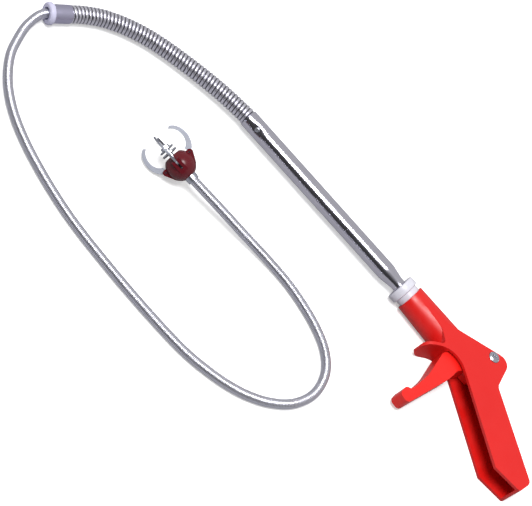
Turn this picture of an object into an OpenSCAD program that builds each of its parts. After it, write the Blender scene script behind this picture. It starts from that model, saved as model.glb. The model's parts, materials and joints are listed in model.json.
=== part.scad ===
// Pistol-grip drain auger: a trigger pulls a wire through a rigid tube, a gooseneck
// conduit and a long spring sheath, and the wire closes four claws on the head.
// It lies on its side. X runs along the tube towards the conduit, Y towards the
// trigger's finger end, Z up from the surface. Millimetres.

/* [Handle] */
// Width of the handle across its two side walls
handle_w = 25; // [23:0.5:30]
// Thickness of the handle's walls
wall = 2.8; // [2:0.1:3.2]
// Radius of the round neck where it meets the collar
neck_r = 12.5; // [11:0.5:12.5]
// Radius of the neck's flared end
flare_r = 15; // [13:0.5:15]

/* [Trigger] */
// Width of the trigger blade
trigger_w = 15; // [12:0.5:16]
// Radius of the pivot bolt's shank
pivot_r = 2; // [1.5:0.1:2.2]
// How far the trigger turns, in degrees
trigger_turn = 15.8; // [10:0.1:16]

/* [Tube] */
// Outer radius of the steel tube
tube_r = 8; // [7:0.5:9]
// Outer radius of its swaged lower end
swage_r = 6; // [5:0.5:6.5]
// Wall of the tube
tube_wall = 1; // [0.8:0.1:1.5]
// Distance from the neck's end to the tube's upper end
tube_end = 200; // [150:5:250]

/* [Conduit and spring cable] */
// Outer radius of the gooseneck conduit
conduit_r = 7.5; // [6.5:0.1:7.6]
// Inner radius of the conduit
conduit_bore_r = 5; // [4.6:0.1:5.5]
// Outer radius of the close-wound spring sheath
sheath_r = 4; // [3:0.1:4.2]
// Inner radius of the spring sheath
sheath_bore_r = 2.2; // [1.6:0.1:2.4]
// Radius of the pull wire
wire_r = 0.9; // [0.6:0.1:1.2]

/* [Claw head] */
// Radius of the ball
ball_r = 12.3; // [11:0.1:13]
// Thickness of a claw's steel plate
claw_t = 1.6; // [1.2:0.1:1.8]
// Radius of the arc down the middle of a claw
claw_arc_r = 12.3; // [11:0.1:13]
// Width of a claw at its root
claw_root_w = 5.6; // [4:0.1:6]
// Width of a claw next to its point
claw_tip_w = 2.6; // [2:0.1:3]

/* [Hidden] */
$fn = 64;

// The design is drawn from the neck's end and the tube's axis, and then placed so that
// the middle of the rigid part's box is the origin.
frame_x = 14;
frame_y = 31.8;
axis_z = handle_w / 2;

// Handle. Each corner is [x, y, rounding radius].
SIDE = [[-36, -1, 0], [-47, -5.6, 8], [-96.2, -25.9, 8.5], [-101.8, 4.6, 6],
        [-172.7, 50.6, 5.5], [-169.7, 65, 3], [-142.2, 67.2, 2.5], [-57, 9.9, 22],
        [-33.9, 32, 1.2], [-32, 30, 1.2], [-46.6, 16.2, 3.5], [-36, 8.2, 8],
        [-6, 2.4, 0], [-6, -0.6, 0]];
CAVITY = [[-52, 80, 0], [-52, -4.9, 3], [-94, -22, 5.7], [-99.2, 6.2, 8.8],
          [-169.6, 51.8, 3], [-163.8, 80, 0]];
flare_x = -42;
neck_back_x = -62;
seat_x = -46;
guard_tip = [-33, 31];
guard_turn = 43.4;
guard_corner_r = 9.5;

// Trigger linkage
pivot = [-83.5, -14.6];
lead = trigger_turn / 2;
link_x = pivot[0] - pivot[1] * tan(lead);
hub_r = 4.4;
link_pin_r = 1.5;
eye_hole_r = 1.8;
eye_t = 4;
bolt_head_r = 5;
BLADE = [[-68, 9, 5], [-58, 10, 6], [-50, 20, 8], [-53.6, 48, 40], [-52.2, 66, 20],
         [-50.6, 73.6, 2.5], [-46.4, 75.4, 3.5], [-46.2, 85.4, 4.2], [-56.2, 86.6, 4.2],
         [-68.2, 36, 30], [-69.2, 22, 8], [-79, 8, 4]];
ARM = [[-87.3, -18.4, 3.6], [-79.7, -18.4, 3.6], [-71, 13, 0], [-84.5, 13, 3]];

// Pull rod and its return spring
rod_r = 1.2;
rod_end = 183;
collar_x = -22;
coil_wire_r = 0.7;
coil_r = 3.9;
coil_turns = 7;
sheath_start = 184;

// Rivet that holds the spring sheath's anchor in the tube
rivet_x = 187;
rivet_r = 1.2;
rivet_from = 4.3;

// Route of the conduit, from the tube's end to the ferrule
CONDUIT_ROUTE = [[200, 0, 12.5], [204, 0, 12.5], [210, 0.5, 12.4], [221, 1.7, 12.3], [232, 3.2, 12.1],
    [243, 5.2, 11.8], [254, 7.5, 11.5], [265, 10.1, 11.2], [276, 13, 10.9],
    [287, 16.2, 10.6], [298, 20.1, 10.3], [308, 24.6, 10.1], [318, 30.1, 9.9],
    [328, 37, 9.7], [338.6, 46.3, 9.5], [348.4, 58.5, 9.4], [354.4, 68.5, 9.4]];
// Route of the bare cable, from the end cap to the head
CABLE_ROUTE = [[362.8, 82.5, 9.4], [365.6, 87.2, 9.4], [367.1, 92.6, 8.6], [367.4, 98.4, 7.2],
    [366.3, 108, 5.3], [362.4, 120, 4.3], [355, 137, 4.2], [343, 153, 4.2], [328, 166.5, 4.2],
    [310, 177.5, 4.2], [290, 186, 4.2], [270, 192.3, 4.2], [250, 197.3, 4.2],
    [230, 201.2, 4.2], [210, 203.7, 4.2], [190, 205.2, 4.2], [170, 206.3, 4.2],
    [150, 207, 4.2], [130, 207.2, 4.2], [110, 207, 4.2], [90, 205.7, 4.2],
    [71, 202.2, 4.2], [53, 197, 4.2], [36, 189.3, 4.2], [20, 177.7, 4.2],
    [6.6, 161, 4.2], [0.4, 139, 4.2], [5, 117, 4.2], [18, 101.5, 4.2],
    [36, 92, 4.2], [56, 86.2, 4.2], [76, 83, 4.4], [96, 82.8, 5.2], [115, 84.8, 7.2],
    [134, 88, 10.2], [152, 91, 13.4], [170, 93.8, 16], [182, 95, 17], [192, 95, 17]];

// Ferrule and end cap, along the last straight stretch of the conduit
cap_turn = atan2(10, 6);
ferrule_r = 7.75;
ferrule_len = 16.5;
cap_r = 9.25;
cap_len = 4.6;
cap_bore_r = 5.25;

// Claw head, along +X from the ball's centre
ball_centre = [203, 95, 17];
CLAW_ROLLS = [45, 135, 225, 315];
claw_pivot_h = 3.2;
claw_pivot_r = 12.5;
claw_pin_r = 1;
tail_len = 9.6;
claw_swing = 24.4;
arc_h = 17.3;
arc_r = 9.6;
arc_flat = 0.76;
slot_w = 2;
ear_r = 2.5;
ear_w = 7.2;
fin_slope = 26.5;
head_bore_r = 4.6;
recess_r = 7.3;
spool_r = 4.2;
groove_w = 3.1;
groove_h = claw_pivot_h + tail_len * sin(claw_swing / 2);

// ---- Shared shapes ----

// A polygon's points with every [x, y, r] corner rounded to its radius
function unit(v) = v / norm(v);
function arc_steps(r) = r > 15 ? 12 : 7;
function corner(a, b, c) =
    let (u = unit([a[0] - b[0], a[1] - b[1]]), v = unit([c[0] - b[0], c[1] - b[1]]),
         p = [b[0], b[1]], half = acos(u * v) / 2, n = arc_steps(b[2]),
         centre = p + unit(u + v) * b[2] / sin(half),
         from = p + u * b[2] / tan(half) - centre, to = p + v * b[2] / tan(half) - centre,
         turn = 180 - 2 * half)
    b[2] == 0 ? [p] :
    [for (i = [0:n]) centre + (from * sin(turn * (1 - i / n)) + to * sin(turn * i / n)) / sin(turn)];
function rounded(c) =
    let (n = len(c)) [for (i = [0:n - 1]) each corner(c[(i + n - 1) % n], c[i], c[(i + 1) % n])];

// Moves a shape from the drawing position to the part's own frame
module place() { translate([-frame_x, -frame_y, 0]) children(); }

// A solid of revolution about a line along +X, from [x, r] points
module lathe_x(points, z = axis_z) {
    translate([0, 0, z]) rotate([0, 90, 0])
        rotate_extrude() polygon([for (p = points) [p[1], p[0]]]);
}

// A round bar or hole along +X
module bar_x(x0, x1, r, z = axis_z) {
    translate([x0, 0, z]) rotate([0, 90, 0]) cylinder(h = x1 - x0, r = r);
}

// Rings of a swept tube: flat sides up and down, one ring at each route point
function tangent(p, i) = unit(p[min(i + 1, len(p) - 1)] - p[max(i - 1, 0)]);
function ring(p, i, r, n) =
    let (t = tangent(p, i), s = unit(cross([0, 0, 1], t)), b = cross(t, s))
    [for (k = [0:n - 1]) let (a = 360 * (k + 0.5) / n) p[i] + r * (cos(a) * s + sin(a) * b)];
function skin(m, n, first, outward) =
    [for (i = [0:m - 2], k = [0:n - 1])
        let (a = first + i * n + k, b = first + i * n + (k + 1) % n)
        outward ? [a, a + n, b + n, b] : [a, b, b + n, a + n]];

// A hollow tube swept along a route
module swept_tube(p, r, bore, n) {
    m = len(p);
    inner = m * n;
    last = (m - 1) * n;
    points = concat([for (i = [0:m - 1]) each ring(p, i, r, n)],
                    [for (i = [0:m - 1]) each ring(p, i, bore, n)]);
    start = [for (k = [0:n - 1]) let (j = (k + 1) % n) [k, j, inner + j, inner + k]];
    end = [for (k = [0:n - 1]) let (j = (k + 1) % n)
           [last + k, inner + last + k, inner + last + j, last + j]];
    polyhedron(points, concat(skin(m, n, 0, true), skin(m, n, inner, false), start, end));
}

// A solid wire swept along a route
module swept_wire(p, r, n) {
    m = len(p);
    polyhedron([for (i = [0:m - 1]) each ring(p, i, r, n)],
               concat(skin(m, n, 0, true), [[for (k = [0:n - 1]) k]],
                      [[for (k = [n - 1:-1:0]) (m - 1) * n + k]]));
}

// Routes of the parts inside each other share the same points
last_conduit = CONDUIT_ROUTE[len(CONDUIT_ROUTE) - 1];
LINER_ROUTE = concat([[sheath_start, 0, axis_z], [192, 0, axis_z]], CONDUIT_ROUTE,
                     [CABLE_ROUTE[0]]);
WIRE_ROUTE = concat(LINER_ROUTE, [for (i = [1:len(CABLE_ROUTE) - 2]) CABLE_ROUTE[i]],
                    [[188.5, ball_centre[1], ball_centre[2]]]);

// ---- Handle ----

module neck() {
    intersection() {
        union() {
            lathe_x([[neck_back_x, 0], [neck_back_x, neck_r], [0, neck_r], [0, 0]]);
            intersection() {
                lathe_x([[-50, 0], [-50, flare_r], [flare_x, flare_r], [0, neck_r], [0, 0]]);
                translate([-60, 0, 0]) cube([70, 30, handle_w]);
            }
        }
        translate([-100, -30, 0]) cube([110, 60, handle_w]);
    }
}

// What rounds the two corners of the finger guard's tip
module guard_corners() {
    for (side = [0, 1]) translate([guard_tip[0], guard_tip[1], side * handle_w])
        mirror([0, 0, side]) rotate(guard_turn) difference() {
            translate([-guard_corner_r, -6, -1]) cube([guard_corner_r + 4, 12, guard_corner_r + 1]);
            translate([-guard_corner_r, -7, guard_corner_r]) rotate([-90, 0, 0])
                cylinder(h = 14, r = guard_corner_r);
        }
}

module handle_body() color("#f03c41") place() difference() {
    union() {
        linear_extrude(handle_w) polygon(rounded(SIDE));
        neck();
    }
    guard_corners();
    translate([0, 0, wall]) linear_extrude(handle_w - 2 * wall) polygon(rounded(CAVITY));
    translate([pivot[0], pivot[1], wall]) cylinder(h = handle_w - 2 * wall, r = hub_r + 0.5);
    bar_x(seat_x, 1, swage_r);
    bar_x(-60, 1, 2);
    translate([pivot[0], pivot[1], -1]) cylinder(h = handle_w + 2, r = pivot_r);
    translate([pivot[0], pivot[1], handle_w - 1]) cylinder(h = 2, r = bolt_head_r + 0.2);
    translate([pivot[0], pivot[1], -1]) cylinder(h = 2.6, r = 4.1, $fn = 6);
}

// ---- Trigger and its fastenings ----

module trigger() color("#ff3a32") place() difference() {
    z0 = axis_z - trigger_w / 2;
    union() {
        translate([0, 0, z0]) linear_extrude(trigger_w) polygon(rounded(BLADE));
        translate([0, 0, z0]) linear_extrude(trigger_w) polygon(rounded(ARM));
        translate([pivot[0], pivot[1], wall + 0.3])
            cylinder(h = handle_w - 2 * wall - 0.6, r = hub_r);
    }
    translate([link_x - 6, -8.5, axis_z - eye_t / 2 - 0.4]) cube([30, 15, eye_t + 0.8]);
    translate([link_x, 0, 0]) cylinder(h = handle_w, r = link_pin_r);
    translate([pivot[0], pivot[1], 0]) cylinder(h = handle_w, r = pivot_r + 0.05);
}

module linkage_pin() color("#b8bcc2") place()
    translate([link_x, 0, axis_z - trigger_w / 2]) cylinder(h = trigger_w, r = link_pin_r);

module pivot_bolt() color("#aab0c4") place() translate([pivot[0], pivot[1], 0]) {
    difference() {
        union() {
            translate([0, 0, 0.3]) cylinder(h = handle_w - 1, r = pivot_r);
            translate([0, 0, handle_w - 1]) cylinder(h = 1.4, r = bolt_head_r);
            translate([0, 0, handle_w + 0.4]) cylinder(h = 0.9, r1 = bolt_head_r, r2 = 3.4);
        }
        translate([-6, -0.6, handle_w + 0.6]) cube([12, 1.2, 2]);
    }
}

module pivot_nut() color("#aab0b8") place() translate([pivot[0], pivot[1], 0.2])
    difference() {
        cylinder(h = 1.4, r = 4, $fn = 6);
        translate([0, 0, -1]) cylinder(h = 4, r = pivot_r);
    }

// ---- Collar and tube ----

module collar_nut() color("#ecebf3") place()
    lathe_x([[0, swage_r], [0, 10.4], [4.9, 10.4], [5.4, 12], [5.9, neck_r], [11.9, neck_r],
             [12.6, 12], [12.6, 8.2], [10.8, 7.2], [10.8, swage_r]]);

// Stands a shape's +Z out through the tube's wall where the rivet is
module at_rivet() { translate([rivet_x, 0, axis_z]) rotate([-52, 0, 0]) children(); }

module steel_tube() color("#a9abb4") place() difference() {
    lathe_x([[-16, swage_r - tube_wall], [-16, swage_r], [14.4, swage_r], [17, 6.4],
             [24, 7.5], [28, tube_r - 0.15], [31, tube_r], [tube_end - 0.5, tube_r],
             [tube_end, tube_r - 0.4], [tube_end, tube_r - tube_wall],
             [31, tube_r - tube_wall], [14.4, swage_r - tube_wall]]);
    at_rivet() cylinder(h = tube_r + 2, r = rivet_r);
}

module tube_rivet() color("#c9cbd2") place()
    at_rivet() {
        translate([0, 0, rivet_from]) cylinder(h = tube_r + 0.1 - rivet_from, r = rivet_r);
        translate([0, 0, tube_r]) cylinder(h = 0.4, r = 2.1);
        translate([0, 0, tube_r + 0.4]) cylinder(h = 0.4, r1 = 2.1, r2 = 1.3);
    }

module sheath_anchor() color("#c2a25a") place() difference() {
    bar_x(sheath_start - 1, tube_end - 3, tube_r - tube_wall);
    bar_x(sheath_start, tube_end, sheath_r + 0.05);
    bar_x(sheath_start - 2, tube_end, rod_r + 0.5);
    at_rivet() cylinder(h = tube_r, r = rivet_r);
}

// ---- Pull rod ----

module rod_eye() color("#b9bcc4") place() difference() {
    union() {
        translate([link_x, 0, axis_z - eye_t / 2]) cylinder(h = eye_t, r = 3.4);
        translate([link_x, -2, axis_z - eye_t / 2]) cube([12, 4, eye_t]);
    }
    translate([link_x, 0, 0]) cylinder(h = handle_w, r = eye_hole_r);
    bar_x(link_x + 5, link_x + 20, rod_r);
}

module pull_rod() color("#c4c7ce") place() bar_x(link_x + 5, rod_end, rod_r);

module rod_collar() color("#c2a25a") place() difference() {
    bar_x(collar_x, collar_x + 3, swage_r - 0.6);
    bar_x(collar_x - 1, collar_x + 4, rod_r);
}

module spring_washer() color("#b9bcc4") place() difference() {
    bar_x(seat_x, seat_x + 0.8, swage_r - 0.2);
    bar_x(seat_x - 1, seat_x + 2, rod_r + 0.4);
}

// Compression spring as a helix of round wire between the washer and the collar
module return_spring() {
    x0 = seat_x + 0.8 + coil_wire_r + 0.05;
    x1 = collar_x - coil_wire_r - 0.05;
    steps = coil_turns * 16;
    route = [for (i = [0:steps]) let (a = 360 * coil_turns * i / steps)
             [x0 + (x1 - x0) * i / steps, coil_r * cos(a), axis_z + coil_r * sin(a)]];
    n = 6;
    rings = [for (i = [0:steps]) let (a = 360 * coil_turns * i / steps)
             each [for (k = [0:n - 1]) route[i] + coil_wire_r
                   * (cos(360 * k / n) * [1, 0, 0] + sin(360 * k / n) * [0, cos(a), sin(a)])]];
    color("#c4c7ce") place() polyhedron(rings,
        concat(skin(steps + 1, n, 0, false), [[for (k = [n - 1:-1:0]) k]],
               [[for (k = [0:n - 1]) steps * n + k]]));
}

// ---- Conduit, ferrule, cap, spring cable and wire ----

module gooseneck_conduit() color("#9a9ba6") place()
    swept_tube(CONDUIT_ROUTE, conduit_r, conduit_bore_r, 12);

// Stands a shape's +Z along the conduit's last stretch
module along_cap() {
    translate(last_conduit) rotate([0, 0, cap_turn]) rotate([0, 90, 0]) children();
}

module conduit_ferrule() color("#b9b6d2") place() along_cap() difference() {
    translate([0, 0, 0.05]) cylinder(h = ferrule_len, r = ferrule_r);
    translate([0, 0, -1]) cylinder(h = ferrule_len + 3, r = cap_bore_r);
}

module end_cap() color("#e4e2f0") place() along_cap() difference() {
    union() {
        translate([0, 0, ferrule_len + 0.05]) cylinder(h = cap_len - 1.2, r = cap_r);
        translate([0, 0, ferrule_len + cap_len - 1.15]) cylinder(h = 1.2, r1 = cap_r, r2 = 8);
    }
    translate([0, 0, ferrule_len - 1]) cylinder(h = cap_len + 3, r = cap_bore_r);
}

module conduit_liner_spring() color("#a5a6b0") place()
    swept_tube(LINER_ROUTE, sheath_r, sheath_bore_r, 8);

module spring_cable() color("#a5a6b0") place()
    swept_tube(CABLE_ROUTE, sheath_r, sheath_bore_r, 8);

module core_wire() color("#8f929b") place() swept_wire(WIRE_ROUTE, wire_r, 8);

// ---- Claw head ----

// Moves a shape whose +X is the head's axis to the head's place
module at_head() { translate(ball_centre) children(); }

// Turns a shape drawn in the plane of h (x) and r (y), with its thickness about z = 0,
// to a claw's roll about the head's axis
module rolled(roll) { rotate([roll, 0, 0]) children(); }

module head_lathe(points) {
    rotate([0, 90, 0]) rotate_extrude() polygon([for (p = points) [p[1], p[0]]]);
}

// Lug for a claw's pin, with a fin that slopes down to the back of the ball
module claw_ear() {
    translate([claw_pivot_h, claw_pivot_r, -ear_w / 2]) cylinder(h = ear_w, r = ear_r);
    translate([0, 0, -ear_w / 2]) linear_extrude(ear_w)
        polygon([[-8, 7], [-6.4, 10.5],
                 [claw_pivot_h - ear_r * sin(fin_slope), claw_pivot_r + ear_r * cos(fin_slope)],
                 [claw_pivot_h + ear_r, claw_pivot_r], [claw_pivot_h + ear_r, 7]]);
}

module head_ball() color("#5e2234") place() at_head() difference() {
    union() {
        rotate([0, 90, 0]) sphere(r = ball_r);
        for (roll = CLAW_ROLLS) rolled(roll) claw_ear();
    }
    head_lathe([[-5.5, 0], [-5.5, head_bore_r], [8.2, head_bore_r], [8.2, recess_r],
                [20, recess_r], [20, 0]]);
    head_lathe([[-20, 0], [-20, 5.05], [-8, 5.05], [-8, 0]]);
    head_lathe([[-9, 0], [-9, 1.6], [-5, 1.6], [-5, 0]]);
    for (roll = CLAW_ROLLS) rolled(roll) {
        translate([-3.4, 0, -slot_w / 2]) cube([24, 20, slot_w]);
        translate([claw_pivot_h, claw_pivot_r, -5]) cylinder(h = 10, r = claw_pin_r);
    }
}

module cable_crimp() color("#b9bcc4") place() at_head() difference() {
    head_lathe([[-16, sheath_r + 0.05], [-16, 4.7], [-15.4, 5], [-8, 5], [-8, sheath_r + 0.05]]);
}

// The middle line of a claw's hook, by angle round its arc, and its half width there
hook_from = 166;
hook_to = 24;
hook_steps = 14;
function hook(i, side) =
    let (s = i / hook_steps, a = hook_from + (hook_to - hook_from) * s,
         w = (claw_root_w + (claw_tip_w - claw_root_w) * s * s) / 2)
    [arc_h, arc_r] + (claw_arc_r + side * w) * [cos(a), arc_flat * sin(a)];

module claw_plate() {
    linear_extrude(claw_t)
        polygon(concat([for (i = [0:hook_steps]) hook(i, 1)],
                       [[arc_h, arc_r]
                        + (claw_arc_r - 1.1) * [cos(hook_to - 9), arc_flat * sin(hook_to - 9)]],
                       [for (i = [hook_steps:-1:0]) hook(i, -1)]));
    translate([claw_pivot_h, claw_pivot_r, 0]) {
        cylinder(h = claw_t, r = 2.2);
        rotate(claw_swing / 2) translate([-1, -tail_len, 0]) cube([2, tail_len, claw_t]);
        rotate(claw_swing / 2) translate([0, -tail_len, 0]) cylinder(h = claw_t, r = 1.25);
    }
}

module claw(i) color("#b4b7c4") place() at_head() rolled(CLAW_ROLLS[i])
    difference() {
        translate([0, 0, -claw_t / 2]) claw_plate();
        translate([claw_pivot_h, claw_pivot_r, -5]) cylinder(h = 10, r = claw_pin_r + 0.05);
    }

module claw_pin(i) color("#c9cbd2") place() at_head() rolled(CLAW_ROLLS[i])
    translate([claw_pivot_h, claw_pivot_r, -3.8]) cylinder(h = 7.6, r = claw_pin_r);

// Spool that the four claws' tails stand in, with the rod that carries the discs
module plunger() color("#b9bcc4") place() at_head()
    head_lathe([[-8.9, 0], [-8.9, rod_r], [groove_h - groove_w / 2 - 1.4, rod_r],
                [groove_h - groove_w / 2 - 1.4, spool_r], [groove_h - groove_w / 2, spool_r],
                [groove_h - groove_w / 2, rod_r], [groove_h + groove_w / 2, rod_r],
                [groove_h + groove_w / 2, spool_r], [groove_h + groove_w / 2 + 1.4, spool_r],
                [groove_h + groove_w / 2 + 1.4, 2], [20.4, 2], [20.8, 1.6], [20.8, 0]]);

module disc(h0, h1, r) {
    difference() {
        head_lathe([[h0, 0], [h0, r - 0.3], [h0 + 0.3, r], [h1 - 0.3, r], [h1, r - 0.3], [h1, 0]]);
        rotate([0, 90, 0]) cylinder(h = 30, r = 2);
    }
}

module rear_disc() color("#c4c7ce") place() at_head() disc(12.5, 14, 6.7);

module front_disc() color("#c4c7ce") place() at_head() disc(16.1, 17.4, 6.4);

module plunger_nut() color("#aab0b8") place() at_head() difference() {
    rotate([0, 90, 0]) translate([0, 0, 17.4]) cylinder(h = 2.4, r = 4, $fn = 6);
    rotate([0, 90, 0]) cylinder(h = 30, r = 2);
}

handle_body();
trigger();
linkage_pin();
pivot_bolt();
pivot_nut();
collar_nut();
steel_tube();
tube_rivet();
sheath_anchor();
rod_eye();
pull_rod();
rod_collar();
return_spring();
spring_washer();
gooseneck_conduit();
conduit_ferrule();
end_cap();
conduit_liner_spring();
spring_cable();
core_wire();
head_ball();
cable_crimp();
claw_pin(0);  // claw_pin_1
claw_pin(1);  // claw_pin_2
claw_pin(2);  // claw_pin_3
claw_pin(3);  // claw_pin_4
claw(0);  // claw_1
claw(1);  // claw_2
claw(2);  // claw_3
claw(3);  // claw_4
plunger();
rear_disc();
front_disc();
plunger_nut();
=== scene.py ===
# %% [markdown]
# # A drain auger with a pistol grip
# A trigger in the red grip pulls a wire. The wire runs through a plated steel tube, a
# gooseneck conduit and a long close-wound spring, and closes four steel claws at the far
# end. The CAD model gives every place and size, and this script gives the looks.

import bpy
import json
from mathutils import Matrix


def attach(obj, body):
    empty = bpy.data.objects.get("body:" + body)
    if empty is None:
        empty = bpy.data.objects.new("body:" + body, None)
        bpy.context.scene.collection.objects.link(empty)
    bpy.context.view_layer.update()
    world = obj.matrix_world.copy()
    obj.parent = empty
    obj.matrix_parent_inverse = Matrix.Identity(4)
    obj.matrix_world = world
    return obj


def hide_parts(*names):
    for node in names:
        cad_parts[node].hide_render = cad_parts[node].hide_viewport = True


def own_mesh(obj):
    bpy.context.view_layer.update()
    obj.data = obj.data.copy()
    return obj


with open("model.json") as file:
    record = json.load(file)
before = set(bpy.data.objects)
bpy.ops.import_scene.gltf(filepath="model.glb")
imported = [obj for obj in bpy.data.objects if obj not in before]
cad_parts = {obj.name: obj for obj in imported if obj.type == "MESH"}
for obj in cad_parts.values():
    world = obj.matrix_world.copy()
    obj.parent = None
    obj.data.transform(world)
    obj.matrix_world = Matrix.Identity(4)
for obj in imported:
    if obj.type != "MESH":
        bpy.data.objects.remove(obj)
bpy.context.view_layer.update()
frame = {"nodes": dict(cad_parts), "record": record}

# %% [markdown]
# ## The camera
# The tool lies on its side, seen from its trigger side at 48 degrees above the floor, and
# the camera is rolled so that the tube runs from the lower right to the upper left. A long
# lens from 1.4 m keeps parallel edges nearly parallel, as a catalogue picture does.

# %% Camera
import json
import math

import bmesh
import bpy
from mathutils import Matrix, Vector

scene = bpy.context.scene
VIEW_ELEVATION = math.radians(48)
VIEW_ROLL = math.radians(48.08)
VIEW_TARGET = Vector((0.09283, 0.04261, 0))
VIEW_DISTANCE = 1.4
VIEW_LENS_MM = 117.9

towards_camera = Vector((0, math.cos(VIEW_ELEVATION), math.sin(VIEW_ELEVATION)))
level_right = Vector((-1, 0, 0))
level_up = towards_camera.cross(level_right)
camera_right = level_right * math.cos(VIEW_ROLL) + level_up * math.sin(VIEW_ROLL)
camera_up = towards_camera.cross(camera_right)
lens_data = bpy.data.cameras.new("catalogue_view")
lens_data.lens = VIEW_LENS_MM
camera = bpy.data.objects.new("catalogue_view", lens_data)
camera.matrix_world = (Matrix.Translation(VIEW_TARGET + towards_camera * VIEW_DISTANCE)
                       @ Matrix((camera_right, camera_up, towards_camera)).transposed().to_4x4())
scene.collection.objects.link(camera)
scene.camera = camera
print("camera at", [round(v, 3) for v in camera.location])

# %% [markdown]
# ## Colours and nodes
# Colours are picked as sRGB hex values, the way a screen shows them, but shaders mix light
# in linear values, so one function converts them. A second one adds a node with its
# settings and links. Patterns are sized in millimetres: a noise texture's scale is how
# many of its features fit in one metre.

# %% Helpers for colours and nodes
def linear(hex_colour):
    """A hex sRGB colour as linear RGBA."""
    parts = [int(hex_colour[i:i + 2], 16) / 255 for i in (1, 3, 5)]
    return [c / 12.92 if c <= 0.04045 else ((c + 0.055) / 1.055) ** 2.4 for c in parts] + [1]


def per_metre(size_mm):
    return 1000 / size_mm


def add_node(tree, kind, inputs=None, **settings):
    """A node with its settings. Each input is a plain value, or another node's output."""
    made = tree.nodes.new("ShaderNode" + kind)
    for name, value in settings.items():
        setattr(made, name, value)
    for socket, value in (inputs or {}).items():
        if isinstance(value, bpy.types.NodeSocket):
            tree.links.new(value, made.inputs[socket])
        else:
            made.inputs[socket].default_value = value
    return made


def new_finish(name, **shader_values):
    """A material with a Principled shader: returns it with its tree, shader and coordinates."""
    material = bpy.data.materials.new(name)
    material.use_nodes = True
    tree = material.node_tree
    shader = tree.nodes["Principled BSDF"]
    for socket, value in shader_values.items():
        shader.inputs[socket.replace("_", " ")].default_value = value
    place = add_node(tree, "TexCoord").outputs["Object"]
    return material, tree, shader, place


print("white in linear values", linear("#ffffff"))

# %% [markdown]
# ## Metals
# The metal parts differ in how they were worked. Drawn tube and wire carry fine lines
# along their length, stamped plate carries rolling lines and a dulled skin, and plated
# fastenings carry a soft bloom. Each is one metal shader whose roughness and colour change
# with a stretched noise: lines need noise that is short across and long along.
# The metallic value is 1 for bare or plated metal, and the IOR stays at its default.

# %% Worked metal
BLOOM_MM = 18


def worked_metal(name, bright, dull, roughness, line_mm, length_mm, line_depth_mm,
                 groove_shade=None):
    """Metal with lines along X: line_mm apart, length_mm long and line_depth_mm deep.
    The last argument is a darker colour painted into the grooves of a wound part as shade."""
    material, tree, shader, place = new_finish(name, Metallic=1.0)
    lines = add_node(tree, "Mapping", {"Vector": place, "Scale": (
        per_metre(length_mm), per_metre(line_mm), per_metre(line_mm))})
    grain = add_node(tree, "TexNoise", {"Vector": lines.outputs["Vector"], "Scale": 1.0,
                                        "Detail": 3.0})
    bloom = add_node(tree, "TexNoise", {"Vector": place, "Scale": per_metre(BLOOM_MM),
                                        "Detail": 4.0})
    tint = add_node(tree, "Mix", {0: bloom.outputs["Fac"], 6: linear(bright),
                                  7: linear(dull)}, data_type="RGBA")
    # Painted shade: each point is darkened by how deep it lies in its groove.
    if groove_shade:
        depth = add_node(tree, "Attribute", attribute_name="groove_depth").outputs["Fac"]
        shade_share = add_node(tree, "MapRange", {"Value": depth, "From Min": 0.12, "From Max": 0.6})
        tint = add_node(tree, "Mix", {0: shade_share.outputs[0], 6: tint.outputs[2],
                                      7: linear(groove_shade)}, data_type="RGBA")
    tree.links.new(tint.outputs[2], shader.inputs["Base Color"])
    mixed = add_node(tree, "Math", {0: grain.outputs["Fac"], 1: bloom.outputs["Fac"]},
                     operation="MULTIPLY")
    polish = add_node(tree, "MapRange", {"Value": mixed.outputs[0], "From Min": 0.1,
                                         "From Max": 0.45, "To Min": roughness * 0.7,
                                         "To Max": roughness * 1.4})
    tree.links.new(polish.outputs[0], shader.inputs["Roughness"])
    relief = add_node(tree, "Bump", {"Height": grain.outputs["Fac"], "Strength": 0.5,
                                     "Distance": line_depth_mm / 1000})
    tree.links.new(relief.outputs[0], shader.inputs["Normal"])
    return material


# Nickel-plated drawn steel: nearly a mirror, with faint draw lines.
plated_tube = worked_metal("nickel_plated_drawn_steel", "#dddbe6", "#cac8d6", 0.15,
                           0.8, 120, 0.004)
# Zinc-plated conduit wire: bright on the crown of each turn, with painted shade in the grooves
# between turns.
conduit_wire = worked_metal("zinc_plated_conduit_wire", "#eeecf6", "#d8d7e4", 0.34,
                            0.8, 6, 0.01, groove_shade="#3c3a44")
# Hard-drawn spring wire, oiled: a little duller, with painted shade as a dark line where turns
# touch.
spring_wire = worked_metal("hard_drawn_spring_wire", "#eeeef8", "#d8d8e4", 0.33, 0.6, 8,
                           0.01, groove_shade="#8e8e9a")
# Zinc-plated turned and headed steel, for the bolt, nuts, pins and rod.
zinc_plate = worked_metal("zinc_plated_turned_steel", "#cdd0da", "#b0b3be", 0.3,
                          0.7, 3, 0.01)
# Stamped and tumbled spring steel, for the claws: rolling lines under a dulled skin.
stamped_steel = worked_metal("stamped_tumbled_steel", "#bcbfca", "#989ba7", 0.48,
                             0.5, 14, 0.02)
# Blackened steel, for the claws' pins: a dark oxide that hides them in the ball.
black_oxide = worked_metal("black_oxide_steel", "#54333c", "#3a2028", 0.4, 0.5, 3, 0.01)
# Turned brass, for the parts that slide on the wire.
turned_brass = worked_metal("turned_brass", "#d9b667", "#b8934a", 0.25, 0.6, 4, 0.01)
# Satin nickel on the ferrule: its lavender cast comes from the plating bath.
satin_nickel = worked_metal("satin_nickel_plate", "#c6c3da", "#aeabc6", 0.42, 0.5, 5, 0.01)
print("metals:", len(bpy.data.materials))

# %% [markdown]
# ## Moulded plastics
# The grip, trigger, collar and end cap are injection mouldings, and the ball is pressed.
# The mould's spark texture leaves a fine grain, the melt leaves soft differences in depth
# of colour, and hands polish some patches more than others. The real grain is finer than
# a picture of the whole tool can show, so it is drawn at about half a millimetre.

# %% Moulded plastic
MELT_MM, RUBBED_MM = 45, 9


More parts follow.
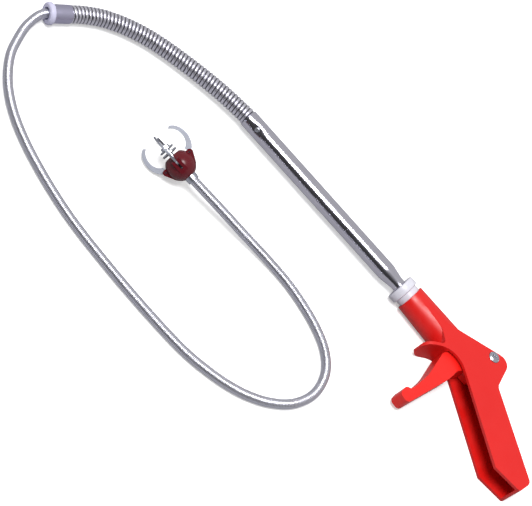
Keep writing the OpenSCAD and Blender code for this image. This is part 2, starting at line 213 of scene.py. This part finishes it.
def moulded_plastic(name, colour, deeper, roughness, grain_mm, grain_depth_mm, ior=1.53):
    """Moulded plastic with a grain of grain_mm and polished patches."""
    material, tree, shader, place = new_finish(name, IOR=ior)
    melt = add_node(tree, "TexNoise", {"Vector": place, "Scale": per_metre(MELT_MM),
                                       "Detail": 2.0})
    tint = add_node(tree, "Mix", {0: melt.outputs["Fac"], 6: linear(colour),
                                  7: linear(deeper)}, data_type="RGBA")
    tree.links.new(tint.outputs[2], shader.inputs["Base Color"])
    rubbed = add_node(tree, "TexNoise", {"Vector": place, "Scale": per_metre(RUBBED_MM),
                                         "Detail": 5.0})
    polish = add_node(tree, "MapRange", {"Value": rubbed.outputs["Fac"], "From Min": 0.3,
                                         "From Max": 0.7, "To Min": roughness * 0.8,
                                         "To Max": roughness * 1.25})
    tree.links.new(polish.outputs[0], shader.inputs["Roughness"])
    grain = add_node(tree, "TexNoise", {"Vector": place, "Scale": per_metre(grain_mm),
                                        "Detail": 2.0})
    relief = add_node(tree, "Bump", {"Height": grain.outputs["Fac"], "Strength": 0.6,
                                     "Distance": grain_depth_mm / 1000})
    tree.links.new(relief.outputs[0], shader.inputs["Normal"])
    return material


# ABS, as power-tool grips are: a satin skin over an even red.
grip_abs = moulded_plastic("moulded_red_abs", "#e01a15", "#d7130f", 0.42, 0.5, 0.01)
# The trigger is a brighter, slightly warmer batch of the same plastic.
trigger_abs = moulded_plastic("moulded_bright_red_abs", "#f22018", "#ea1912", 0.38, 0.5, 0.01)
# Nylon: milky, with a waxy sheen.
collar_nylon = moulded_plastic("moulded_white_nylon", "#dfdee8", "#d4d3df", 0.32, 0.6, 0.006)
cap_nylon = moulded_plastic("moulded_pale_nylon", "#d3d1ea", "#c6c4e0", 0.3, 0.6, 0.006)
# Phenolic ball, pressed and buffed: dark maroon under a gloss.
ball_phenolic = moulded_plastic("pressed_maroon_phenolic", "#660416", "#4c0210", 0.24,
                                0.8, 0.003, ior=1.5)
print("materials:", sorted(m.name for m in bpy.data.materials))

# %% [markdown]
# ## Pieces that refine a CAD solid
# A CAD solid has perfectly sharp edges, and real ones never do: a moulding has a small
# radius, a turned part a chamfer and a stamping a burnished edge. The helper copies a CAD
# mesh, joins its triangles into whole faces, and bevels every edge sharper than 22
# degrees, so that edges catch the light. The bevel hardens its normals, which keeps the
# large faces flat right up to it. The copy rides on the node's own body.

# %% Helper that refines CAD solids
SHARP = math.radians(22)
NEARLY_FLAT = math.radians(0.5)
WELD_DISTANCE = 2e-6
bodies = frame["record"]["behaviour"]["bodies"]
body_with = {node: body for body, nodes in bodies.items() for node in nodes}


def add_piece(name, mesh, body, material, slot, *nodes):
    """Links a mesh as a piece that rides on a body and stands for CAD nodes."""
    mesh.materials.append(material)
    mesh.shade_smooth()
    piece = bpy.data.objects.new(name, mesh)
    scene.collection.objects.link(piece)
    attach(piece, body)
    if nodes:
        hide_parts(*nodes)
    return piece


def refined(name, node, material, slot, edge_mm, segments=2):
    """A copy of a CAD node with its edges rounded by about edge_mm."""
    source = frame["nodes"][node].data
    mesh = bpy.data.meshes.new(name)
    mesh.from_pydata([v.co for v in source.vertices], [],
                     [tuple(p.vertices) for p in source.polygons])
    shell = bmesh.new()
    shell.from_mesh(mesh)
    bmesh.ops.remove_doubles(shell, verts=shell.verts, dist=WELD_DISTANCE)
    bmesh.ops.dissolve_limit(shell, angle_limit=NEARLY_FLAT, verts=shell.verts,
                             edges=shell.edges)
    shell.to_mesh(mesh)
    shell.free()
    piece = add_piece(name, mesh, body_with[node], material, slot, node)
    mesh.set_sharp_from_angle(angle=SHARP)
    if edge_mm:
        edges = piece.modifiers.new("rounded_edges", "BEVEL")
        edges.width, edges.segments = edge_mm / 1000, segments
        edges.limit_method, edges.angle_limit = "ANGLE", SHARP
        edges.harden_normals = True
    print(name, "has", len(mesh.polygons), "faces from", len(source.polygons))
    return piece


# %% [markdown]
# ## The claw head
# A pressed ball holds four stamped claws on pins. The wire pulls a spool inside the ball,
# the claws' tails stand in the spool's groove, and two discs and a nut sit on the spool's
# rod between the claws. The claws are thin plate, so their edges get a small bevel.

# %% Claw head
head_pieces = [refined("claw_ball", "head_ball", ball_phenolic, "head_plastic", 0.3),
               refined("cable_end_crimp", "cable_crimp", zinc_plate, "zinc_steel", 0.2),
               refined("claw_spool", "plunger", zinc_plate, "zinc_steel", 0.15),
               refined("inner_disc", "rear_disc", zinc_plate, "zinc_steel", 0.15),
               refined("outer_disc", "front_disc", zinc_plate, "zinc_steel", 0.15),
               refined("disc_nut", "plunger_nut", zinc_plate, "zinc_steel", 0.25)]
for number in "1234":
    head_pieces += [
        refined("stamped_claw_" + number, "claw_" + number, stamped_steel, "claw_steel", 0.2),
        refined("hinge_pin_" + number, "claw_pin_" + number, black_oxide, "zinc_steel", 0.2)]
print("pieces on the cable's end:", len(head_pieces))

# %% Ferrule and end cap
ferrule = refined("conduit_end_ferrule", "conduit_ferrule", satin_nickel, "ferrule", 0.4)
end_cap = refined("conduit_end_cap", "end_cap", cap_nylon, "cap_plastic", 0.9, segments=4)

# %% [markdown]
# ## Conduit and cable
# Both are wire wound into a tube, so each has a helical ridge in its surface.
# A ring of points is set along a smooth route, and each point's radius follows the round
# crown of the wire at its place in the turn: the ridge climbs one pitch per turn. The
# routes are the CAD's own, in millimetres, and the helper moves them to its origin. Both
# are filled, apart from a well at the far end that the head's parts reach into.

# %% Helper that winds a tube along a route
CAD_ORIGIN_MM = Vector((14, 31.8, 0))
STEPS_PER_POINT = 24


def even_route(points_mm, step_mm):
    """A smooth curve through the points, as places in metres about step_mm apart."""
    p = [(Vector(q) - CAD_ORIGIN_MM) / 1000 for q in points_mm]
    p = [p[0] * 2 - p[1]] + p + [p[-1] * 2 - p[-2]]
    dense = []
    for a, b, c, d in zip(p, p[1:], p[2:], p[3:]):
        for t in (k / STEPS_PER_POINT for k in range(STEPS_PER_POINT)):
            dense.append(0.5 * (2 * b + (c - a) * t + (2 * a - 5 * b + 4 * c - d) * t ** 2
                                + (3 * b - a - 3 * c + d) * t ** 3))
    dense.append(p[-2])
    travelled = [0]
    for a, b in zip(dense, dense[1:]):
        travelled.append(travelled[-1] + (b - a).length)
    count = round(travelled[-1] * 1000 / step_mm)
    places, at = [], 0
    for i in range(count + 1):
        goal = travelled[-1] * i / count
        while at < len(dense) - 2 and travelled[at + 1] < goal:
            at += 1
        share = (goal - travelled[at]) / (travelled[at + 1] - travelled[at])
        places.append(dense[at].lerp(dense[at + 1], share))
    return places, travelled[-1]


def ring_point(centre, side, up, turn, radius_mm):
    """A point of a ring round centre, at a share of a turn from side towards up."""
    angle = 2 * math.pi * turn
    return centre + radius_mm / 1000 * (math.cos(angle) * side + math.sin(angle) * up)


def wound_tube(name, route_mm, radius_mm, pitch_mm, groove_mm, sides, rings_per_turn,
               well_radius_mm, well_depth_mm):
    """A tube whose surface has the helical crowns of round wire. Its near end is closed;
    the far end has a well, the part of the bore that other pieces reach into."""
    places, length = even_route(route_mm, pitch_mm / rings_per_turn)
    points, faces, depths = [], [], []
    for i, place in enumerate(places):
        ahead = (places[min(i + 1, len(places) - 1)] - places[max(i - 1, 0)]).normalized()
        side = Vector((0, 0, 1)).cross(ahead).normalized()
        up = ahead.cross(side)
        for k in range(sides):
            across = 2 * ((i / rings_per_turn - k / sides) % 1) - 1
            crown = math.sqrt(max(0, 1 - across ** 2))
            depths.append(1 - crown)
            points.append(ring_point(place, side, up, k / sides,
                                     radius_mm - groove_mm * (1 - crown)))
    for centre in (places[-1], places[-1] - ahead * well_depth_mm / 1000):
        for k in range(sides):
            depths.append(1)
            points.append(ring_point(centre, side, up, k / sides, well_radius_mm))
    last = len(points) - sides
    for start in range(0, last, sides):
        for k in range(sides):
            a, b = start + k, start + (k + 1) % sides
            faces.append((a, b, b + sides, a + sides))
    faces += [tuple(range(sides))[::-1], tuple(range(last, last + sides))]
    mesh = bpy.data.meshes.new(name)
    mesh.from_pydata(points, [], faces)
    mesh.attributes.new("groove_depth", "FLOAT", "POINT").data.foreach_set("value", depths)
    print(name, "is", round(length, 3), "m long with", len(faces), "faces")
    return mesh, places, length


# %% Gooseneck conduit
CONDUIT_ROUTE_MM = [
    (200, 0, 12.5), (204, 0, 12.5), (210, 0.5, 12.4), (221, 1.7, 12.3), (232, 3.2, 12.1),
    (243, 5.2, 11.8), (254, 7.5, 11.5), (265, 10.1, 11.2), (276, 13, 10.9),
    (287, 16.2, 10.6), (298, 20.1, 10.3), (308, 24.6, 10.1), (318, 30.1, 9.9),
    (328, 37, 9.7), (338.6, 46.3, 9.5), (348.4, 58.5, 9.4), (354.4, 68.5, 9.4)]
conduit_mesh, conduit_path, conduit_length = wound_tube(
    "gooseneck", CONDUIT_ROUTE_MM, radius_mm=7.5, pitch_mm=3.3, groove_mm=1.4, sides=32,
    rings_per_turn=10, well_radius_mm=5, well_depth_mm=6)
conduit = add_piece("wound_gooseneck", conduit_mesh, "handle", conduit_wire, "conduit_steel",
                    "gooseneck_conduit")

# %% Spring cable
CABLE_ROUTE_MM = [
    (362.8, 82.5, 9.4), (365.6, 87.2, 9.4), (367.1, 92.6, 8.6), (367.4, 98.4, 7.2),
    (366.3, 108, 5.3), (362.4, 120, 4.3), (355, 137, 4.2), (343, 153, 4.2), (328, 166.5, 4.2),
    (310, 177.5, 4.2), (290, 186, 4.2), (270, 192.3, 4.2), (250, 197.3, 4.2),
    (230, 201.2, 4.2), (210, 203.7, 4.2), (190, 205.2, 4.2), (170, 206.3, 4.2),
    (150, 207, 4.2), (130, 207.2, 4.2), (110, 207, 4.2), (90, 205.7, 4.2),
    (71, 202.2, 4.2), (53, 197, 4.2), (36, 189.3, 4.2), (20, 177.7, 4.2), (6.6, 161, 4.2),
    (0.4, 139, 4.2), (5, 117, 4.2), (18, 101.5, 4.2), (36, 92, 4.2), (56, 86.2, 4.2),
    (76, 83, 4.4), (96, 82.8, 5.2), (115, 84.8, 7.2), (134, 88, 10.2), (152, 91, 13.4),
    (170, 93.8, 16), (182, 95, 17), (192, 95, 17)]
cable_mesh, cable_path, cable_length = wound_tube(
    "close_wound_spring", CABLE_ROUTE_MM, radius_mm=4, pitch_mm=1.3, groove_mm=0.45,
    sides=14, rings_per_turn=6, well_radius_mm=2.2, well_depth_mm=9)
cable = add_piece("close_wound_cable", cable_mesh, "handle", spring_wire, "spring_steel",
                  "spring_cable")

# %% [markdown]
# ## The grip
# One red moulding makes the grip: a deep channel that the trigger folds into, a finger
# guard and a round neck. Its edges have a moulder's radius of about a millimetre.
# The trigger is a second moulding on a bolt across the channel.

# %% Grip, trigger and bolt
refined("grip_moulding", "handle_body", grip_abs, "handle_abs", 0.9, segments=3)
refined("trigger_moulding", "trigger", trigger_abs, "trigger_abs", 0.8, segments=3)
refined("pivot_bolt_head", "pivot_bolt", zinc_plate, "zinc_steel", 0.2)
refined("pivot_hex_nut", "pivot_nut", zinc_plate, "zinc_steel", 0.2)
refined("rod_link_pin", "linkage_pin", zinc_plate, "zinc_steel", 0.2)
refined("rod_end_eye", "rod_eye", zinc_plate, "zinc_steel", 0.3)
refined("long_pull_rod", "pull_rod", zinc_plate, "zinc_steel", 0.1)

# %% [markdown]
# ## Collar and tube
# The tube is drawn steel, swaged down at its lower end and plated, and a white nylon
# collar holds it in the neck. Both are turned shapes, so a profile is spun about the
# tube's axis with enough steps for the plating's mirror to show no facets. The profile of
# the swage eases in and out, because a die leaves no corner in the steel. A punch set the
# rivet near the upper end, and it left a shallow dent that bends the reflections.

# %% Collar and tube
AXIS_MM = Vector((0, 0, 12.5)) - CAD_ORIGIN_MM


def spun(name, profile_mm, steps=96):
    """A closed ring-shaped solid from (x, radius) points spun about the tube's axis."""
    points = [(Vector((x, r * math.cos(a), r * math.sin(a))) + AXIS_MM) / 1000
              for a in (2 * math.pi * k / steps for k in range(steps)) for x, r in profile_mm]
    n = len(profile_mm)
    faces = [(k * n + i, k * n + (i + 1) % n, (k + 1) % steps * n + (i + 1) % n,
              (k + 1) % steps * n + i) for k in range(steps) for i in range(n)]
    mesh = bpy.data.meshes.new(name)
    mesh.from_pydata(points, [], faces)
    shell = bmesh.new()
    shell.from_mesh(mesh)
    bmesh.ops.recalc_face_normals(shell, faces=shell.faces)
    shell.to_mesh(mesh)
    shell.free()
    print(name, "has", len(faces), "faces")
    return mesh


TUBE_FROM, TUBE_TO, TUBE_R, TUBE_WALL = -16, 200, 8, 1
SWAGE_FROM, SWAGE_TO, SWAGE_R, SWAGE_STEPS = 14.6, 31, 6, 14
RIVET_X, RIVET_TURN = 187, math.radians(52)
DENT_LENGTH, DENT_WIDTH, DENT_DEPTH = 6, 3.5, 0.9

swage = []
for t in (k / SWAGE_STEPS for k in range(SWAGE_STEPS + 1)):
    swage.append((SWAGE_FROM + (SWAGE_TO - SWAGE_FROM) * t,
                  SWAGE_R + (TUBE_R - SWAGE_R) * (3 * t ** 2 - 2 * t ** 3)))
near_rivet = [(x, TUBE_R) for x in range(RIVET_X - 15, RIVET_X + 12)]
tube_profile = ([(TUBE_FROM, SWAGE_R - TUBE_WALL), (TUBE_FROM, SWAGE_R)] + swage + near_rivet
                + [(TUBE_TO - 0.6, TUBE_R), (TUBE_TO - 0.2, TUBE_R - 0.15),
                   (TUBE_TO, TUBE_R - 0.4), (TUBE_TO, TUBE_R - TUBE_WALL),
                   (SWAGE_TO, TUBE_R - TUBE_WALL), (SWAGE_FROM, SWAGE_R - TUBE_WALL)])
tube_mesh = spun("plated_tube", tube_profile)
rivet_out = Vector((0, math.sin(RIVET_TURN), math.cos(RIVET_TURN)))
for vertex in tube_mesh.vertices:
    from_axis = vertex.co * 1000 - AXIS_MM
    along, from_axis.x = from_axis.x - RIVET_X, 0
    if from_axis.length > TUBE_R - 0.1 and from_axis.dot(rivet_out) > 0:
        around = TUBE_R * from_axis.angle(rivet_out)
        sink = DENT_DEPTH * math.exp(-(along / DENT_LENGTH) ** 2 - (around / DENT_WIDTH) ** 2)
        vertex.co -= from_axis.normalized() * sink / 1000
tube = add_piece("plated_tube", tube_mesh, "handle", plated_tube, "polished_tube",
                 "steel_tube")
tube.data.set_sharp_from_angle(angle=SHARP)
collar_profile = [(0, 6), (0, 10.1), (0.3, 10.4), (4.7, 10.4), (5, 10.6), (5.3, 11.7),
                  (5.5, 12.1), (5.9, 12.4), (6.4, 12.5), (11.3, 12.5), (11.9, 12.4),
                  (12.4, 12.1), (12.6, 11.6), (12.6, 8.6), (12.4, 8.1), (10.8, 7.2),
                  (10.8, 6)]
collar = add_piece("nylon_collar", spun("nylon_collar", collar_profile), "handle",
                   collar_nylon, "nylon", "collar_nut")
collar.data.set_sharp_from_angle(angle=SHARP)
rivet = refined("tube_rivet_head", "tube_rivet", zinc_plate, "zinc_steel", 0.25)
rivet.data.transform(Matrix.Translation(rivet_out * -0.5 * DENT_DEPTH / 1000))

# %% [markdown]
# ## Parts inside
# The washer, the rod's collar, the anchor, the sheath and the wire are hidden in the
# tube, so their CAD solids stay, with their own metals. The return spring is a copy with
# a mesh of its own; the real spring shortens as the trigger pulls the rod.

# %% Parts inside the tube
spring = refined("rod_return_spring", "return_spring", spring_wire, "spring_steel", 0)
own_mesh(spring)
for name, metal in (("spring_washer", zinc_plate), ("rod_collar", turned_brass),
                    ("sheath_anchor", turned_brass), ("conduit_liner_spring", spring_wire),
                    ("core_wire", spring_wire)):
    for material_slot in frame["nodes"][name].material_slots:
        material_slot.material = metal

# %% [markdown]
# ## Floor and lights
# The tool lies on a plain pale floor under one large soft light from the trigger's side,
# 72 degrees up, so upward faces are bright and side walls fall to about half. Plated metal
# shows what surrounds it: the room is dark on the trigger's side and pale behind the tool,
# which puts the dark band beside the bright line on the tube. The floor looks white, but
# it lights the tool as a mid grey would, because a white floor's bounce would wash the
# shade out of the grip's side walls. A faint glow of its own softens the shadows on it.

# %% Floor
FLOOR_SIZE, FLOOR_GAP, FLOOR_GLOW = 8, 0.0003, 0.4
bpy.ops.mesh.primitive_plane_add(size=FLOOR_SIZE, location=(0, 0, -FLOOR_GAP))
floor = bpy.context.object
floor.name = "studio_floor"
floor_paint, floor_tree, floor_shader, _ = new_finish("matt_floor_paint", Roughness=0.8)
seen = add_node(floor_tree, "LightPath").outputs["Is Camera Ray"]
shade = add_node(floor_tree, "Mix", {0: seen, 6: linear("#a2a2a5"), 7: linear("#fbfbfb")},
                 data_type="RGBA")
floor_tree.links.new(shade.outputs[2], floor_shader.inputs["Base Color"])
floor_shader.inputs["Emission Color"].default_value = linear("#ffffff")
glow = add_node(floor_tree, "Math", {0: seen, 1: FLOOR_GLOW}, operation="MULTIPLY")
floor_tree.links.new(glow.outputs[0], floor_shader.inputs["Emission Strength"])
floor.data.materials.append(floor_paint)

# %% Lights
LIGHT_ELEVATION = math.radians(72)
LIGHT_DISTANCE, SOFTBOX_SIZE, SOFTBOX_WATTS = 2.5, 1.0, 60
softbox_data = bpy.data.lights.new("softbox", "AREA")
softbox_data.size = SOFTBOX_SIZE
softbox_data.energy = SOFTBOX_WATTS
softbox = bpy.data.objects.new("softbox", softbox_data)
towards_light = Vector((0.1, math.cos(LIGHT_ELEVATION), math.sin(LIGHT_ELEVATION)))
softbox.location = VIEW_TARGET + towards_light * LIGHT_DISTANCE
softbox.rotation_euler = towards_light.to_track_quat("Z", "Y").to_euler()
scene.collection.objects.link(softbox)

sky = bpy.data.worlds.new("studio")
sky.use_nodes = True
sky_tree = sky.node_tree
direction = add_node(sky_tree, "TexCoord").outputs["Generated"]
parts = add_node(sky_tree, "SeparateXYZ", {0: direction})
pale = add_node(sky_tree, "MapRange", {"Value": parts.outputs["Y"], "From Min": 0.1,
                                       "From Max": 0.75, "To Min": 0.55, "To Max": 0.05})
sky_tree.links.new(pale.outputs[0], sky_tree.nodes["Background"].inputs["Strength"])
sky_tree.nodes["Background"].inputs["Color"].default_value = (1, 1, 1, 1)
scene.world = sky
scene.view_settings.view_transform = "Standard"
